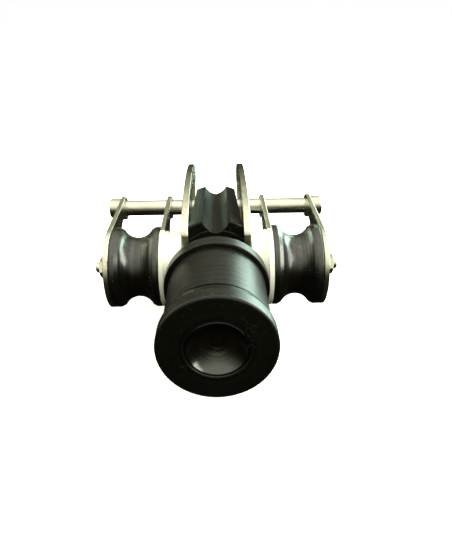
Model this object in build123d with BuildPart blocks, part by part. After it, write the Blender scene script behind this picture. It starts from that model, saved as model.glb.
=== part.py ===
"""Bow roller: a bobbin-shaped nose roller, two side sheaves and a channelled saddle
block, held together by a through axle, link plates and two oval cheek plates.

Frame: +X to starboard, +Y aft, +Z up, millimetres. The origin is midway between the
cheek plates, on the line where the boat's clamping bolt crosses their slots.
"""

from build123d import *
from math import acos, atan2, cos, degrees, hypot, radians, sin, sqrt
import os

# ---------------------------------------------------------------- driving dimensions

# Main axle, measured from the clamping bolt at the origin
axle_y = -140.0
axle_z = -30.0
axle_radius = 8.0
axle_thread_radius = 5.0
axle_end_x = 113.4
running_gap = 0.05

# Nose roller, positions along Y measured from the axle
nose_front_y = -130.0
nose_rear_y = -34.0
land_radius = 45.2
land_rear_y = -111.6
land_taper_length = 6.4
land_taper_drop = 1.4
relief_groove_width = 4.8
relief_groove_radius = 40.2
body_radius = 42.0
collar_radius = 46.0
collar_front_y = -47.4
nose_rounding = 2.0
dish_mouth_radius = 24.0
head_room_radius = 20.0
head_room_end_y = -95.4
bush_outer_radius = 12.0
bush_length = 22.0
bush_flange_radius = 15.0
bush_flange_thickness = 2.5

# Dished plug that closes the nose
plug_length = 19.4
plug_setback = 0.3
plug_chamfer = 0.6
dish_radius = 22.6
dish_depth = 10.6
dish_centre_radius = 5.0

# Spindle bolt that the nose roller turns on
spindle_radius = 10.0
spindle_thread_radius = 8.0
spindle_thread_end_y = -11.0
spindle_head_across_flats = 24.0
spindle_head_height = 10.0
spindle_washer_radius = 16.0
spindle_washer_thickness = 2.0
thrust_washer_radius = 30.0
thrust_washer_thickness = 1.45
thrust_gap = 0.1

# Saddle block with its rope channel
neck_front_y = -32.45
neck_radius = 31.0
ledge_radius = 37.2
ledge_length = 2.2
bar_radius = 46.6
saddle_length = 98.0
shoulder_half_width = 25.3
shoulder_length = 11.0
relief_half_width = 23.6
tail_half_width = 20.4
channel_front_radius = 16.2
channel_rear_radius = 14.8
channel_front_floor = 33.9
channel_rear_floor = 36.4
channel_lean = 2.5

# Cheek plates with their long slots
cheek_inner_x = 25.35
cheek_thickness = 6.5
cheek_centre_y = 93.8
cheek_centre_z = 31.9
cheek_half_length = 101.2
cheek_half_height = 26.2
cheek_lobe_radius = 22.5
cheek_brow = ((-7.39, 32.5), (-10.2, 20.05), (16.0, 15.8), (30.0, 32.5))
slot_centre_y = 99.4
slot_centre_z = 30.0
slot_half_length = 60.0
slot_half_height = 13.0

# Hub spacers between the cheek plates and the inner link plates
spacer_length = 14.5
spacer_end_radius = 33.4
spacer_waist_radius = 31.2
spacer_lip = 1.2

# Link plates, two on each side
link_thickness = 4.5
link_disc_radius = 37.5
link_seat_radius = 30.0
link_boss_radius = 12.0
neck_boss_angle = -110.0
neck_disc_angle = 16.0
neck_waist = (61.0, 23.8)
plate_edge = 0.7

# Side sheaves
sheave_side_gap = 0.4
sheave_width = 43.2
sheave_radius = 37.5
sheave_rim_width = 4.6
sheave_flank_width = 3.4
sheave_flank_drop = 1.8
sheave_groove_depth = 9.8
sheave_bush_radius = 10.0
sheave_recess_radius = 16.0
sheave_recess_depth = 0.8
sheave_washer_radius = 15.0
sheave_washer_thickness = 1.1

# Cross pins behind the sheaves, measured from the axle
pin_y = 80.6
pin_z = 28.1
pin_radius = 8.0
pin_thread_radius = 5.0
pin_seat_x = 20.0
pin_socket_x = 8.0
pin_cap_radius = 10.0
pin_cap_length = 12.4
pin_cap_wall = 3.0

# Axle nuts and washers
nut_across_flats = 17.0
nut_height = 8.0
washer_radius = 10.5
washer_thickness = 2.0

# ---------------------------------------------------------------- worked-out places

cheek_outer_x = cheek_inner_x + cheek_thickness
inner_link_x = cheek_outer_x + spacer_length
inner_link_face_x = inner_link_x + link_thickness
sheave_inner_x = inner_link_face_x + sheave_side_gap
sheave_outer_x = sheave_inner_x + sheave_width
outer_link_x = sheave_outer_x + sheave_side_gap
outer_link_face_x = outer_link_x + link_thickness
plug_rear_y = nose_front_y + plug_length
washer_front_y = head_room_end_y - bush_flange_thickness - thrust_gap - spindle_washer_thickness
head_front_y = washer_front_y - spindle_head_height

flat_plane = Plane(origin=(0, axle_y, axle_z), x_dir=(1, 0, 0), z_dir=(0, 0, 1))
axle_line = Axis((0, axle_y, axle_z), (1, 0, 0))
spindle_line = Axis((0, axle_y, axle_z), (0, 1, 0))


def side_plane(x):
    """Sketch plane at x, whose own x runs aft and own y runs up from the axle."""
    return Plane(origin=(x, axle_y, axle_z), x_dir=(0, 1, 0), z_dir=(1, 0, 0))


def cross_plane(y):
    """Sketch plane across the bar at y from the axle, with its normal forward."""
    return Plane(origin=(0, axle_y + y, axle_z), x_dir=(1, 0, 0), z_dir=(0, -1, 0))


def pin_place(x, sign):
    """Place on the cross pin's line at x, facing outward on the given side."""
    return Plane(
        origin=(sign * x, axle_y + pin_y, axle_z + pin_z),
        x_dir=(0, sign, 0),
        z_dir=(sign, 0, 0),
    )


def turned(points, line):
    """Solid turned about a line from the profile's corner points in the flat plane."""
    with BuildPart() as blank:
        with BuildSketch(flat_plane):
            with BuildLine():
                Polyline(*points, close=True)
            make_face()
        revolve(axis=line)
    return blank.part


def turned_about_axle(stations, sign):
    """Solid turned about the axle from (distance from the middle, radius) corners."""
    return turned([(sign * x, radius) for x, radius in stations], axle_line)


def finish(piece, label):
    """Name a piece and write it as its own STEP file."""
    piece.part.label = label
    export_step(piece.part, f"parts/{label}.step")


os.makedirs("parts", exist_ok=True)

# ---------------------------------------------------------------- saddle block

with BuildPart() as saddle_block:
    with BuildSketch(flat_plane):
        with BuildLine():
            Polyline(
                (0, neck_front_y),
                (neck_radius, neck_front_y),
                (neck_radius, -ledge_length),
                (ledge_radius - 0.5, -ledge_length),
                (ledge_radius, -ledge_length + 0.5),
                (ledge_radius, 0),
                (bar_radius, 0),
                (bar_radius, saddle_length),
                (0, saddle_length),
                close=True,
            )
        make_face()
    revolve(axis=spindle_line)
    chamfer(saddle_block.edges().filter_by(GeomType.CIRCLE).group_by(SortBy.RADIUS)[-1], 1.2)
    # Sides: full width at the shoulders, relieved and tapering aft of them
    with BuildSketch(flat_plane.offset(-bar_radius)):
        with BuildLine():
            right_side = Polyline(
                (0, neck_front_y),
                (shoulder_half_width, neck_front_y),
                (shoulder_half_width, shoulder_length),
                (relief_half_width, shoulder_length + 2),
                (tail_half_width, saddle_length),
                (0, saddle_length),
            )
            mirror(right_side, about=Plane.YZ)
        make_face()
    extrude(amount=2 * bar_radius, mode=Mode.INTERSECT)
    # Rope channel: two arcs that meet in a crease, narrowing slightly aft
    for y, radius, floor in (
        (-ledge_length - 1.0, channel_front_radius, channel_front_floor),
        (saddle_length + 1.0, channel_rear_radius, channel_rear_floor),
    ):
        height = floor + sqrt(radius**2 - channel_lean**2)
        with BuildSketch(cross_plane(y)):
            with Locations((channel_lean, height)):
                Circle(radius)
            with Locations((-channel_lean, height)):
                Circle(radius, mode=Mode.INTERSECT)
    loft(mode=Mode.SUBTRACT)
    with Locations(side_plane(shoulder_half_width)):
        Hole(radius=axle_radius)
    with Locations(cross_plane(neck_front_y)):
        Hole(radius=spindle_thread_radius, depth=spindle_thread_end_y - neck_front_y)
    with Locations(pin_place(shoulder_half_width, 1), pin_place(shoulder_half_width, -1)):
        CounterBoreHole(
            radius=pin_thread_radius,
            counter_bore_radius=pin_radius,
            counter_bore_depth=shoulder_half_width - pin_seat_x,
            depth=shoulder_half_width - pin_socket_x,
        )
finish(saddle_block, "saddle_block")

# ---------------------------------------------------------------- nose roller

with BuildPart() as nose_roller:
    groove_rear_y = land_rear_y + relief_groove_width
    with BuildSketch(flat_plane):
        with BuildLine():
            Polyline(
                (bush_outer_radius, nose_rear_y),
                (collar_radius, nose_rear_y),
                (collar_radius, collar_front_y),
                (body_radius, collar_front_y),
                (body_radius, groove_rear_y),
                (relief_groove_radius, groove_rear_y),
                (relief_groove_radius, land_rear_y),
                (land_radius - land_taper_drop, land_rear_y),
                (land_radius, land_rear_y - land_taper_length),
                (land_radius, nose_front_y),
                (dish_mouth_radius, nose_front_y),
                (dish_mouth_radius, plug_rear_y),
                (head_room_radius, plug_rear_y),
                (head_room_radius, head_room_end_y),
                (bush_outer_radius, head_room_end_y),
                close=True,
            )
        make_face()
    revolve(axis=spindle_line)
    rims = nose_roller.edges().filter_by(GeomType.CIRCLE)
    fillet(rims.group_by(Axis.Y)[0].sort_by(SortBy.RADIUS)[-1], nose_rounding)
    rims = nose_roller.edges().filter_by(GeomType.CIRCLE)
    fillet(rims.group_by(Axis.Y)[0].sort_by(SortBy.RADIUS)[0], 1.2)
    rims = nose_roller.edges().filter_by(GeomType.CIRCLE)
    fillet(rims.filter_by(lambda edge: abs(edge.radius - collar_radius) < 0.01), 1.0)
finish(nose_roller, "nose_roller")

with BuildPart() as nose_plug:
    mouth_y = nose_front_y + plug_setback
    dish_floor_y = mouth_y + dish_depth
    with BuildSketch(flat_plane):
        with BuildLine():
            Polyline(
                (dish_radius, mouth_y),
                (dish_mouth_radius - plug_chamfer, mouth_y),
                (dish_mouth_radius, mouth_y + plug_chamfer),
                (dish_mouth_radius, plug_rear_y),
                (0, plug_rear_y),
                (0, dish_floor_y),
                (dish_centre_radius, dish_floor_y),
            )
            ThreePointArc(
                (dish_centre_radius, dish_floor_y),
                (0.71 * dish_radius, mouth_y + 0.58 * dish_depth),
                (dish_radius, mouth_y),
            )
        make_face()
    revolve(axis=spindle_line)
finish(nose_plug, "nose_plug")

with BuildPart() as nose_bush_front:
    flange_front_y = head_room_end_y - bush_flange_thickness
    add(
        turned(
            [
                (spindle_radius + running_gap, flange_front_y),
                (bush_flange_radius, flange_front_y),
                (bush_flange_radius, head_room_end_y),
                (bush_outer_radius, head_room_end_y),
                (bush_outer_radius, head_room_end_y + bush_length),
                (spindle_radius + running_gap, head_room_end_y + bush_length),
            ],
            spindle_line,
        )
    )
finish(nose_bush_front, "nose_bush_front")

with BuildPart() as nose_bush_rear:
    add(
        turned(
            [
                (spindle_radius + running_gap, nose_rear_y - bush_length),
                (bush_outer_radius, nose_rear_y - bush_length),
                (bush_outer_radius, nose_rear_y),
                (spindle_radius + running_gap, nose_rear_y),
            ],
            spindle_line,
        )
    )
finish(nose_bush_rear, "nose_bush_rear")

with BuildPart() as spindle_bolt:
    head_rear_y = head_front_y + spindle_head_height
    with BuildSketch(flat_plane):
        with BuildLine():
            Polyline(
                (0, head_rear_y),
                (spindle_radius, head_rear_y),
                (spindle_radius, neck_front_y),
                (spindle_thread_radius, neck_front_y),
                (spindle_thread_radius, spindle_thread_end_y - 1.0),
                (spindle_thread_radius - 1.0, spindle_thread_end_y),
                (0, spindle_thread_end_y),
                close=True,
            )
        make_face()
    revolve(axis=spindle_line)
    with BuildSketch(cross_plane(head_rear_y)):
        RegularPolygon(radius=spindle_head_across_flats / 2, side_count=6, major_radius=False)
    extrude(amount=spindle_head_height)
finish(spindle_bolt, "spindle_bolt")

with BuildPart() as spindle_washer:
    with BuildSketch(cross_plane(washer_front_y)):
        Circle(spindle_washer_radius)
        Circle(spindle_radius, mode=Mode.SUBTRACT)
    extrude(amount=-spindle_washer_thickness)
finish(spindle_washer, "spindle_washer")

with BuildPart() as thrust_washer:
    with BuildSketch(cross_plane(neck_front_y)):
        Circle(thrust_washer_radius)
        Circle(spindle_radius, mode=Mode.SUBTRACT)
    extrude(amount=thrust_washer_thickness)
finish(thrust_washer, "thrust_washer")

# ---------------------------------------------------------------- main axle

with BuildPart() as main_axle:
    add(
        turned(
            [
                (-axle_end_x, 0),
                (-axle_end_x, axle_thread_radius - 1.0),
                (-axle_end_x + 1.0, axle_thread_radius),
                (-outer_link_face_x, axle_thread_radius),
                (-outer_link_face_x, axle_radius),
                (outer_link_face_x, axle_radius),
                (outer_link_face_x, axle_thread_radius),
                (axle_end_x - 1.0, axle_thread_radius),
                (axle_end_x, axle_thread_radius - 1.0),
                (axle_end_x, 0),
            ],
            axle_line,
        )
    )
finish(main_axle, "main_axle")


# ---------------------------------------------------------------- pieces of each side


def soften_outline(piece):
    """Round the long outer edges of a plate's two flat faces."""
    for face in (piece.faces().sort_by(Axis.X)[0], piece.faces().sort_by(Axis.X)[-1]):
        fillet(face.outer_wire().edges(), plate_edge)


def make_cheek_plate(side, sign):
    with BuildPart() as cheek_plate:
        with BuildSketch(side_plane(sign * cheek_inner_x)):
            with Locations((cheek_centre_y, cheek_centre_z)):
                Ellipse(cheek_half_length, cheek_half_height)
            Circle(cheek_lobe_radius)
            with BuildLine():
                Polyline(*cheek_brow, close=True)
            make_face()
            with Locations((slot_centre_y, slot_centre_z)):
                Ellipse(slot_half_length, slot_half_height, mode=Mode.SUBTRACT)
            Circle(axle_radius, mode=Mode.SUBTRACT)
        extrude(amount=sign * cheek_thickness)
        soften_outline(cheek_plate)
    finish(cheek_plate, f"cheek_plate_{side}")


def on_disc(angle):
    """Point on the link's disc outline at an angle in degrees."""
    return (link_disc_radius * cos(radians(angle)), link_disc_radius * sin(radians(angle)))


def on_boss(angle):
    """Point on the link's boss outline at an angle in degrees."""
    return (
        pin_y + link_boss_radius * cos(radians(angle)),
        pin_z + link_boss_radius * sin(radians(angle)),
    )


def neck_top_angle():
    """Angle of the straight line that touches the link's disc and its boss."""
    spread = acos((link_disc_radius - link_boss_radius) / hypot(pin_y, pin_z))
    return degrees(atan2(pin_z, pin_y) + spread)


def guard_ring(sign):
    """Face of the hub spacer's rim, open where the inner link's neck leaves it."""
    with BuildSketch(side_plane(sign * inner_link_x)) as ring:
        Circle(link_disc_radius)
        Circle(link_seat_radius, mode=Mode.SUBTRACT)
        with BuildLine():
            Polyline(
                (0, 0),
                tuple(2 * value for value in on_disc(neck_disc_angle)),
                tuple(2 * value for value in on_disc((neck_disc_angle + neck_top_angle()) / 2)),
                tuple(2 * value for value in on_disc(neck_top_angle())),
                close=True,
            )
        make_face(mode=Mode.SUBTRACT)
    return ring.sketch


def make_hub_spacer(side, sign):
    """Nylon spacer whose outer rim stands around the inner link's end."""
    waist_start = cheek_outer_x + spacer_lip
    waist_end = inner_link_x - spacer_lip
    middle = (waist_start + waist_end) / 2
    with BuildPart() as hub_spacer:
        with BuildSketch(flat_plane):
            with BuildLine():
                Polyline(
                    (sign * waist_start, spacer_end_radius),
                    (sign * cheek_outer_x, spacer_end_radius),
                    (sign * cheek_outer_x, axle_radius),
                    (sign * inner_link_x, axle_radius),
                    (sign * inner_link_x, spacer_end_radius),
                    (sign * waist_end, spacer_end_radius),
                )
                ThreePointArc(
                    (sign * waist_end, spacer_end_radius),
                    (sign * middle, spacer_waist_radius),
                    (sign * waist_start, spacer_end_radius),
                )
            make_face()
        revolve(axis=axle_line)
        extrude(guard_ring(sign), amount=sign * link_thickness)
        rims = hub_spacer.edges().filter_by(GeomType.CIRCLE)
        chamfer(rims.filter_by(lambda edge: abs(edge.radius - link_disc_radius) < 0.01), 0.5)
    finish(hub_spacer, f"hub_spacer_{side}")


def make_link(label, x, sign):
    """Link plate: a disc beside the sheave, a straight-topped neck and a pin boss."""
    top_angle = neck_top_angle()
    with BuildPart() as link:
        with BuildSketch(side_plane(sign * x)):
            with BuildLine():
                Line(on_disc(top_angle), on_boss(top_angle))
                ThreePointArc(
                    on_boss(top_angle),
                    on_boss((top_angle + neck_boss_angle) / 2),
                    on_boss(neck_boss_angle),
                )
                ThreePointArc(on_boss(neck_boss_angle), neck_waist, on_disc(neck_disc_angle))
                ThreePointArc(
                    on_disc(neck_disc_angle),
                    on_disc((neck_disc_angle + top_angle) / 2 - 180),
                    on_disc(top_angle),
                )
            make_face()
            Circle(axle_radius, mode=Mode.SUBTRACT)
            with Locations((pin_y, pin_z)):
                Circle(pin_radius, mode=Mode.SUBTRACT)
        extrude(amount=sign * link_thickness)
        soften_outline(link)
        if x == inner_link_x:
            extrude(guard_ring(sign), amount=sign * link_thickness, mode=Mode.SUBTRACT)
    finish(link, label)


def make_sheave(side, sign):
    """Side sheave: plain rims, short flanks and a wide round rope groove."""
    rim_start = sheave_inner_x + sheave_rim_width
    groove_start = rim_start + sheave_flank_width
    rim_end = sheave_outer_x - sheave_rim_width
    groove_end = rim_end - sheave_flank_width
    groove_lip = sheave_radius - sheave_flank_drop
    groove_floor = sheave_radius - sheave_groove_depth
    middle = (groove_start + groove_end) / 2
    recess_start = sheave_inner_x + sheave_recess_depth
    recess_end = sheave_outer_x - sheave_recess_depth
    with BuildPart() as sheave:
        with BuildSketch(flat_plane):
            with BuildLine():
                Polyline(
                    (sign * groove_start, groove_lip),
                    (sign * rim_start, sheave_radius),
                    (sign * sheave_inner_x, sheave_radius),
                    (sign * sheave_inner_x, sheave_recess_radius),
                    (sign * recess_start, sheave_recess_radius),
                    (sign * recess_start, sheave_bush_radius),
                    (sign * recess_end, sheave_bush_radius),
                    (sign * recess_end, sheave_recess_radius),
                    (sign * sheave_outer_x, sheave_recess_radius),
                    (sign * sheave_outer_x, sheave_radius),
                    (sign * rim_end, sheave_radius),
                    (sign * groove_end, groove_lip),
                )
                ThreePointArc(
                    (sign * groove_end, groove_lip),
                    (sign * middle, groove_floor),
                    (sign * groove_start, groove_lip),
                )
            make_face()
        revolve(axis=axle_line)
        rims = sheave.edges().filter_by(GeomType.CIRCLE)
        fillet(rims.filter_by(lambda edge: abs(edge.radius - sheave_radius) < 0.01), 0.9)
    finish(sheave, f"sheave_{side}")

    with BuildPart() as sheave_bush:
        add(
            turned_about_axle(
                [
                    (recess_start, axle_radius + running_gap),
                    (recess_start, sheave_bush_radius),
                    (recess_end, sheave_bush_radius),
                    (recess_end, axle_radius + running_gap),
                ],
                sign,
            )
        )
    finish(sheave_bush, f"sheave_bush_{side}")

    with BuildPart() as sheave_washers:
        for x in (inner_link_face_x, outer_link_x - sheave_washer_thickness):
            with BuildSketch(side_plane(sign * x)):
                Circle(sheave_washer_radius)
                Circle(axle_radius, mode=Mode.SUBTRACT)
            extrude(amount=sign * sheave_washer_thickness)
    finish(sheave_washers, f"sheave_washers_{side}")


def make_cross_pin(side, sign):
    cap_start = outer_link_face_x
    cap_end = cap_start + pin_cap_length
    thread_end = cap_end - pin_cap_wall
    with BuildPart() as cross_pin:
        for x, radius, end in (
            (pin_socket_x, pin_thread_radius, pin_seat_x),
            (pin_seat_x, pin_radius, cap_start),
            (cap_start, pin_thread_radius, thread_end),
        ):
            with BuildSketch(pin_place(x, sign)):
                Circle(radius)
            extrude(amount=end - x)
    finish(cross_pin, f"cross_pin_{side}")

    with BuildPart() as pin_cap:
        with BuildSketch(pin_place(cap_start, sign)):
            Circle(pin_cap_radius)
        extrude(amount=pin_cap_length)
        outer_face = pin_cap.faces().filter_by(Axis.X).sort_by(Axis.X)[-1 if sign > 0 else 0]
        fillet(outer_face.edges(), 2.2)
        with BuildSketch(pin_place(cap_start, sign)):
            Circle(pin_thread_radius)
        extrude(amount=thread_end - cap_start, mode=Mode.SUBTRACT)
    finish(pin_cap, f"pin_cap_{side}")


def make_axle_fasteners(side, sign):
    with BuildPart() as axle_washer:
        with BuildSketch(side_plane(sign * outer_link_face_x)):
            Circle(washer_radius)
            Circle(axle_thread_radius, mode=Mode.SUBTRACT)
        extrude(amount=sign * washer_thickness)
    finish(axle_washer, f"axle_washer_{side}")

    nut_start = outer_link_face_x + washer_thickness
    nut_end = nut_start + nut_height
    corner_cut = 1.2
    with BuildPart() as axle_nut:
        with BuildSketch(side_plane(sign * nut_start)):
            RegularPolygon(radius=nut_across_flats / 2, side_count=6, major_radius=False)
            Circle(axle_thread_radius, mode=Mode.SUBTRACT)
        extrude(amount=sign * nut_height)
        # The hexagon's corners are turned off to a cone on the outer face
        add(
            turned_about_axle(
                [
                    (nut_start, 0),
                    (nut_start, nut_across_flats),
                    (nut_end - corner_cut, nut_across_flats / 2 + 2 * corner_cut),
                    (nut_end, nut_across_flats / 2),
                    (nut_end, 0),
                ],
                sign,
            ),
            mode=Mode.INTERSECT,
        )
    finish(axle_nut, f"axle_nut_{side}")


for side, sign in (("left", -1), ("right", 1)):
    make_cheek_plate(side, sign)
    make_hub_spacer(side, sign)
    make_link(f"inner_link_{side}", inner_link_x, sign)
    make_link(f"outer_link_{side}", outer_link_x, sign)
    make_sheave(side, sign)
    make_cross_pin(side, sign)
    make_axle_fasteners(side, sign)
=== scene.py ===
"""Looks for the bow roller: black acetal rollers, stainless plates and pins, nylon spacers."""

import math

import bpy
from mathutils import Matrix, Vector


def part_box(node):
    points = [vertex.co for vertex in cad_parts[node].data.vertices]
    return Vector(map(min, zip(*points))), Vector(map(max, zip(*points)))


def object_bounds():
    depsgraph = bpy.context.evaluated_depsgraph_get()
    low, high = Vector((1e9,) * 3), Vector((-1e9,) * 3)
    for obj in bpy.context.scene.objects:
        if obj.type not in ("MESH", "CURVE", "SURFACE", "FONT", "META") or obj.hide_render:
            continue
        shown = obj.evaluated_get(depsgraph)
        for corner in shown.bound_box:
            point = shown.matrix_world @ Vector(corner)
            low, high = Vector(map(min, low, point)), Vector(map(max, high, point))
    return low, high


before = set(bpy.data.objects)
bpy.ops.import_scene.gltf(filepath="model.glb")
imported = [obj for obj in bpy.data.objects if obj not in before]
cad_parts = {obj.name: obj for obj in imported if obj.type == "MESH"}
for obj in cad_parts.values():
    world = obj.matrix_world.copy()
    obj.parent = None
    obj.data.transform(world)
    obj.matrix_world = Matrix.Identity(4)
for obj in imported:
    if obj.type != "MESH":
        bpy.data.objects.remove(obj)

CAD_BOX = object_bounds()

# ---------------------------------------------------------------- places from the frame

AXLE_LOW, AXLE_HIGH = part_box("main_axle")
AXLE = (AXLE_LOW + AXLE_HIGH) / 2

# ---------------------------------------------------------------- camera

# Lens and sensor are in millimetres, and the place is in metres from the axle's middle
LENS = 38.3655
SENSOR = 36.0
CAMERA_FROM_AXLE = (0.0030, -0.4039, 0.2135)


def add_camera():
    """Camera in front of the nose roller, above it and looking down at it."""
    camera = bpy.data.objects.new("camera", bpy.data.cameras.new("camera"))
    bpy.context.collection.objects.link(camera)
    camera.data.sensor_fit = "HORIZONTAL"
    camera.data.sensor_width = SENSOR
    camera.data.lens = LENS
    camera.data.clip_start = 0.01
    place = AXLE + Vector(CAMERA_FROM_AXLE)
    right = Vector((0.99975, -0.01970, -0.01028))
    up = Vector((0.01851, 0.48219, 0.87587))
    turn = Matrix((right, up, right.cross(up))).transposed().to_4x4()
    camera.matrix_world = Matrix.Translation(place) @ turn
    bpy.context.scene.camera = camera


add_camera()

# ---------------------------------------------------------------- light and floor


def add_area_light(name, direction, distance, size, radiance, colour):
    """Soft square light that faces the axle from a direction, with its radiance in W/m2/sr."""
    data = bpy.data.lights.new(name, "AREA")
    data.shape = "RECTANGLE"
    data.size, data.size_y = size
    data.energy = radiance * math.pi * size[0] * size[1]
    data.color = colour
    light = bpy.data.objects.new(name, data)
    bpy.context.collection.objects.link(light)
    away = Vector(direction).normalized()
    light.location = AXLE + away * distance
    light.rotation_euler = away.to_track_quat("Z", "Y").to_euler()


# Dome colours from straight down to straight up, leaning towards the front
DOME_LEAN = 0.15
DOME_STRENGTH = 2.0
DOME_STOPS = (
    (0.0, (0.006, 0.005, 0.003)),
    (0.45, (0.014, 0.012, 0.007)),
    (0.56, (0.055, 0.052, 0.034)),
    (0.67, (0.28, 0.29, 0.20)),
    (0.78, (0.66, 0.67, 0.50)),
    (0.88, (0.98, 1.0, 0.80)),
    (1.0, (0.90, 0.91, 0.76)),
)


def fill_ramp(node, stops):
    """Give a colour ramp node its stops, as (position, colour) pairs."""
    elements = node.color_ramp.elements
    while len(elements) < len(stops):
        elements.new(0.5)
    for element, (position, colour) in zip(elements, stops):
        element.position = position
        element.color = (*colour, 1.0)


def add_world():
    """Soft dome: dark below, dim at the horizon, and bright overhead and in front.

    The camera itself sees plain white in its place.
    """
    world = bpy.data.worlds.new("dome")
    bpy.context.scene.world = world
    world.use_nodes = True
    tree = world.node_tree
    place = tree.nodes.new("ShaderNodeTexCoord")
    split = tree.nodes.new("ShaderNodeSeparateXYZ")
    ramp = tree.nodes.new("ShaderNodeValToRGB")
    lean = tree.nodes.new("ShaderNodeMath")
    lean.operation = "MULTIPLY_ADD"
    lean.inputs[1].default_value = -DOME_LEAN
    half = tree.nodes.new("ShaderNodeMath")
    half.operation = "MULTIPLY_ADD"
    half.inputs[1].default_value = 0.5
    half.inputs[2].default_value = 0.5
    tree.links.new(place.outputs["Generated"], split.inputs[0])
    tree.links.new(split.outputs["Y"], lean.inputs[0])
    tree.links.new(split.outputs["Z"], lean.inputs[2])
    tree.links.new(lean.outputs[0], half.inputs[0])
    tree.links.new(half.outputs[0], ramp.inputs[0])
    fill_ramp(ramp, DOME_STOPS)
    background = tree.nodes["Background"]
    tree.links.new(ramp.outputs["Color"], background.inputs["Color"])
    background.inputs["Strength"].default_value = DOME_STRENGTH
    white = tree.nodes.new("ShaderNodeBackground")
    white.inputs["Color"].default_value = (1.0, 1.0, 1.0, 1.0)
    path = tree.nodes.new("ShaderNodeLightPath")
    blend = tree.nodes.new("ShaderNodeMixShader")
    tree.links.new(path.outputs["Is Camera Ray"], blend.inputs[0])
    tree.links.new(background.outputs[0], blend.inputs[1])
    tree.links.new(white.outputs[0], blend.inputs[2])
    tree.links.new(blend.outputs[0], tree.nodes["World Output"].inputs["Surface"])


FLOOR_REACH = 12.0
FLOOR_GAP = 0.0005


def add_floor():
    """Plain white floor just under the object, seen by the camera only."""
    mesh = bpy.data.meshes.new("floor")
    z = CAD_BOX[0][2] - FLOOR_GAP
    signs = ((-1, -1), (1, -1), (1, 1), (-1, 1))
    corners = [(x * FLOOR_REACH, y * FLOOR_REACH, z) for x, y in signs]
    mesh.from_pydata(corners, [], [(0, 1, 2, 3)])
    floor = bpy.data.objects.new("floor", mesh)
    bpy.context.collection.objects.link(floor)
    material = bpy.data.materials.new("floor")
    material.use_nodes = True
    shader = material.node_tree.nodes["Principled BSDF"]
    shader.inputs["Base Color"].default_value = (0.93, 0.93, 0.92, 1.0)
    shader.inputs["Roughness"].default_value = 0.9
    shader.inputs["Specular IOR Level"].default_value = 0.1
    shader.inputs["Emission Color"].default_value = (1.0, 1.0, 1.0, 1.0)
    shader.inputs["Emission Strength"].default_value = 0.80
    mesh.materials.append(material)
    floor.visible_glossy = False
    floor.visible_diffuse = False
    floor.visible_shadow = False


bpy.context.scene.view_settings.view_transform = "Standard"
add_world()
add_floor()
for light in (
    ("window_right", (0.78, 0.56, 0.16), 1.3, (0.95, 1.05), 15.0, (0.72, 1.0, 0.86)),
    ("window_behind", (0.50, 0.86, 0.06), 1.3, (0.6, 0.7), 7.0, (0.74, 1.0, 0.84)),
    ("window_front", (0.86, -0.16, 0.38), 1.3, (1.05, 0.8), 10.0, (0.94, 1.0, 0.84)),
    ("fill_left", (-0.85, 0.30, 0.32), 1.4, (1.0, 1.0), 2.6, (1.0, 0.90, 0.62)),
    ("overhead", (0.0, -0.15, 1.0), 1.3, (1.4, 1.2), 0.8, (1.0, 0.98, 0.86)),
):
    add_area_light(*light)

# ---------------------------------------------------------------- materials


# Spacing of the marks that the lathe leaves, in metres
COARSE_PITCH = 0.0022
FINE_PITCH = 0.00045
STEEL_PITCH = 0.0006
SOFT_PITCH = 0.0011
# Stretch of milled and brushed marks, which run along Y
MILLED_COARSE = (420.0, 9.0, 420.0)
MILLED_FINE = (1800.0, 60.0, 1800.0)
BRUSHED = (900.0, 35.0, 900.0)

BLACKS = ((0.30, (0.0008, 0.0008, 0.0005)), (0.72, (0.0036, 0.0034, 0.0023)))
STEELS = ((0.28, (0.36, 0.34, 0.28)), (0.52, (0.52, 0.50, 0.43)), (0.76, (0.66, 0.64, 0.57)))
DUST = (0.30, 0.30, 0.26, 1.0)
DUST_AMOUNT = 0.45
DISH_RADIUS = 0.0222


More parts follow.
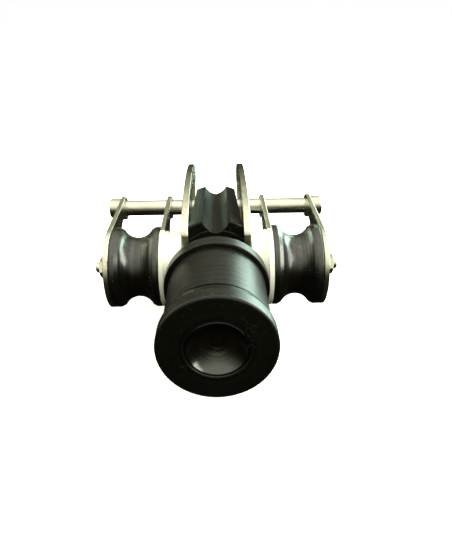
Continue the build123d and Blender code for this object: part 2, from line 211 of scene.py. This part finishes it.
class Recipe:
    """Adds and links the shader nodes of one material."""

    def __init__(self, name):
        self.material = bpy.data.materials.new(name)
        self.material.use_nodes = True
        self.tree = self.material.node_tree
        self.shader = self.tree.nodes["Principled BSDF"]

    def node(self, kind, **settings):
        """New node of a kind, with its settings."""
        made = self.tree.nodes.new(kind)
        for key, value in settings.items():
            setattr(made, key, value)
        return made

    def link(self, source, target):
        self.tree.links.new(source, target)

    def math(self, operation, first, second=None):
        """Result of a maths node on one or two sockets or numbers."""
        made = self.node("ShaderNodeMath", operation=operation)
        for socket, value in zip(made.inputs, (first, second)):
            if value is None:
                continue
            if isinstance(value, (int, float)):
                socket.default_value = value
            else:
                self.link(value, socket)
        return made.outputs[0]

    def place(self):
        """Position in the row frame, in metres, as x, y, z sockets and one vector socket."""
        coordinates = self.node("ShaderNodeTexCoord").outputs["Object"]
        split = self.node("ShaderNodeSeparateXYZ")
        self.link(coordinates, split.inputs[0])
        return coordinates, split.outputs

    def mix(self, first, second, share):
        """Sum of two values, of which the first has the given share."""
        return self.math(
            "ADD", self.math("MULTIPLY", first, share), self.math("MULTIPLY", second, 1.0 - share)
        )

    def noise(self, vector, scale, detail=3.0):
        made = self.node("ShaderNodeTexNoise")
        made.inputs["Scale"].default_value = scale
        made.inputs["Detail"].default_value = detail
        made.inputs["Roughness"].default_value = 0.55
        self.link(vector, made.inputs["Vector"])
        return made.outputs["Fac"]

    def rings(self, distance, pitch, detail=2.0):
        """Uneven turning marks along a distance in metres."""
        made = self.node("ShaderNodeTexNoise", noise_dimensions="1D")
        made.inputs["Scale"].default_value = 1.0 / pitch
        made.inputs["Detail"].default_value = detail
        self.link(distance, made.inputs["W"])
        return made.outputs["Fac"]

    def stretched(self, vector, scales):
        made = self.node("ShaderNodeMapping")
        made.inputs["Scale"].default_value = scales
        self.link(vector, made.inputs["Vector"])
        return made.outputs["Vector"]

    def ramp(self, value, stops):
        made = self.node("ShaderNodeValToRGB")
        fill_ramp(made, stops)
        self.link(value, made.inputs[0])
        return made.outputs["Color"]

    def between(self, share, first, second):
        """Colour that goes from a socket's to a fixed one as share goes from 0 to 1."""
        made = self.node("ShaderNodeMix", data_type="RGBA")
        self.link(share, made.inputs["Factor"])
        self.link(first, made.inputs[6])
        made.inputs[7].default_value = second
        return made.outputs[2]

    def spread(self, value, low, high):
        """Map 0..1 to low..high."""
        made = self.node("ShaderNodeMapRange")
        made.inputs["To Min"].default_value = low
        made.inputs["To Max"].default_value = high
        self.link(value, made.inputs["Value"])
        return made.outputs["Result"]

    def bump(self, height, distance, strength, before=None):
        made = self.node("ShaderNodeBump")
        made.inputs["Distance"].default_value = distance
        made.inputs["Strength"].default_value = strength
        self.link(height, made.inputs["Height"])
        if before is not None:
            self.link(before, made.inputs["Normal"])
        return made.outputs["Normal"]

    def about(self, sockets, line):
        """Distance from the nose's line ("Y") or the axle's line ("X"), in metres."""
        x, y, z = sockets
        across = x if line == "Y" else self.math("SUBTRACT", y, AXLE.y)
        height = self.math("SUBTRACT", z, AXLE.z)
        squares = self.math("ADD", self.math("POWER", across, 2.0), self.math("POWER", height, 2.0))
        return self.math("SQRT", squares)


def dusted(r, vector, colour):
    """The colour with small specks of dust on it, in patches."""
    cells = r.node("ShaderNodeTexVoronoi")
    cells.inputs["Scale"].default_value = 520.0
    r.link(vector, cells.inputs["Vector"])
    speck = r.ramp(cells.outputs["Distance"], ((0.10, (1, 1, 1)), (0.17, (0, 0, 0))))
    patch = r.ramp(r.noise(vector, 55.0), ((0.50, (0, 0, 0)), (0.66, (1, 1, 1))))
    share = r.math("MULTIPLY", r.math("MULTIPLY", speck, patch), DUST_AMOUNT)
    return r.between(share, colour, DUST)


def black_acetal(name, line, roughness, shine, ring_depth=0.0002, polished_radius=None):
    """Black acetal, turned about a line, or milled along Y where line is None.

    Inside polished_radius the surface keeps its full shine, and outside it a fifth.
    """
    r = Recipe(name)
    vector, sockets = r.place()
    if line:
        along = sockets[1] if line == "Y" else sockets[0]
        distance = r.math("ADD", along, r.about(sockets, line))
        coarse = r.rings(distance, COARSE_PITCH)
        fine = r.rings(distance, FINE_PITCH)
    else:
        coarse = r.noise(r.stretched(vector, MILLED_COARSE), 1.0)
        fine = r.noise(r.stretched(vector, MILLED_FINE), 1.0)
    cloud = r.noise(vector, 38.0, 4.0)
    grain = r.noise(vector, 1500.0, 2.0)
    colour = dusted(r, vector, r.ramp(r.mix(cloud, coarse, 0.6), BLACKS))
    r.link(colour, r.shader.inputs["Base Color"])
    r.link(r.spread(r.mix(cloud, fine, 0.4), *roughness), r.shader.inputs["Roughness"])
    uneven = r.mix(coarse, r.noise(vector, 300.0), 0.7)
    level = r.spread(uneven, 0.2 * shine, 1.8 * shine)
    if polished_radius:
        inside = r.math("LESS_THAN", r.about(sockets, line), polished_radius)
        level = r.math("MULTIPLY", level, r.spread(inside, 0.2, 1.0))
    r.link(level, r.shader.inputs["Specular IOR Level"])
    normal = r.bump(coarse, ring_depth, 0.60)
    normal = r.bump(fine, 0.00008, 0.65, normal)
    normal = r.bump(grain, 0.00005, 0.5, normal)
    r.link(normal, r.shader.inputs["Normal"])
    r.shader.inputs["IOR"].default_value = 1.52
    return r.material


def stainless(name, line=None):
    """Stainless steel, turned about a line, or brushed along Y where line is None."""
    r = Recipe(name)
    vector, sockets = r.place()
    if line:
        marks = r.rings(r.math("ADD", sockets[0], r.about(sockets, line)), STEEL_PITCH, 3.0)
    else:
        marks = r.noise(r.stretched(vector, BRUSHED), 1.0, 4.0)
    cloud = r.noise(vector, 45.0, 4.0)
    grain = r.noise(vector, 1200.0, 2.0)
    r.link(r.ramp(r.mix(cloud, marks, 0.55), STEELS), r.shader.inputs["Base Color"])
    r.shader.inputs["Metallic"].default_value = 1.0
    r.link(r.spread(r.mix(cloud, marks, 0.5), 0.14, 0.32), r.shader.inputs["Roughness"])
    normal = r.bump(marks, 0.00003, 0.5)
    normal = r.bump(grain, 0.00001, 0.4, normal)
    r.link(normal, r.shader.inputs["Normal"])
    return r.material


def turned_soft(name, low, high, roughness, metallic):
    """Machined bush or spacer stock, bronze or white nylon, with marks about the axle."""
    r = Recipe(name)
    vector, sockets = r.place()
    marks = r.rings(r.math("ADD", sockets[0], r.about(sockets, "X")), SOFT_PITCH, 3.0)
    cloud = r.noise(vector, 60.0, 4.0)
    colour = r.ramp(r.mix(cloud, marks, 0.6), ((0.30, low), (0.70, high)))
    r.link(colour, r.shader.inputs["Base Color"])
    r.link(r.spread(marks, roughness - 0.08, roughness + 0.10), r.shader.inputs["Roughness"])
    r.shader.inputs["Metallic"].default_value = metallic
    r.link(r.bump(marks, 0.00005, 0.5), r.shader.inputs["Normal"])
    return r.material


NOSE_BLACK = black_acetal("nose_black", "Y", (0.30, 0.47), 0.28, 0.0003)
PLUG_BLACK = black_acetal("plug_black", "Y", (0.12, 0.24), 0.9, 0.0006, DISH_RADIUS)
SHEAVE_BLACK = black_acetal("sheave_black", "X", (0.17, 0.32), 0.68)
SADDLE_BLACK = black_acetal("saddle_black", None, (0.34, 0.56), 0.15)
PLATE_STEEL = stainless("plate_steel")
TURNED_STEEL = stainless("turned_steel", "X")
BRONZE = turned_soft("bronze", (0.36, 0.25, 0.11), (0.55, 0.40, 0.20), 0.30, 1.0)
NYLON = turned_soft("nylon", (0.80, 0.79, 0.71), (0.90, 0.89, 0.82), 0.42, 0.0)

LOOKS = {
    "nose_roller": NOSE_BLACK,
    "nose_plug": PLUG_BLACK,
    "nose_bush_front": BRONZE,
    "nose_bush_rear": BRONZE,
    "saddle_block": SADDLE_BLACK,
    "spindle_bolt": TURNED_STEEL,
    "spindle_washer": TURNED_STEEL,
    "thrust_washer": NYLON,
    "main_axle": TURNED_STEEL,
}
for side in ("left", "right"):
    LOOKS[f"cheek_plate_{side}"] = PLATE_STEEL
    LOOKS[f"inner_link_{side}"] = PLATE_STEEL
    LOOKS[f"outer_link_{side}"] = PLATE_STEEL
    LOOKS[f"hub_spacer_{side}"] = NYLON
    LOOKS[f"sheave_{side}"] = SHEAVE_BLACK
    LOOKS[f"sheave_bush_{side}"] = BRONZE
    LOOKS[f"sheave_washers_{side}"] = NYLON
    LOOKS[f"cross_pin_{side}"] = TURNED_STEEL
    LOOKS[f"pin_cap_{side}"] = TURNED_STEEL
    LOOKS[f"axle_washer_{side}"] = TURNED_STEEL
    LOOKS[f"axle_nut_{side}"] = TURNED_STEEL

for node, material in LOOKS.items():
    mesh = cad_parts[node].data
    mesh.materials.clear()
    mesh.materials.append(material)
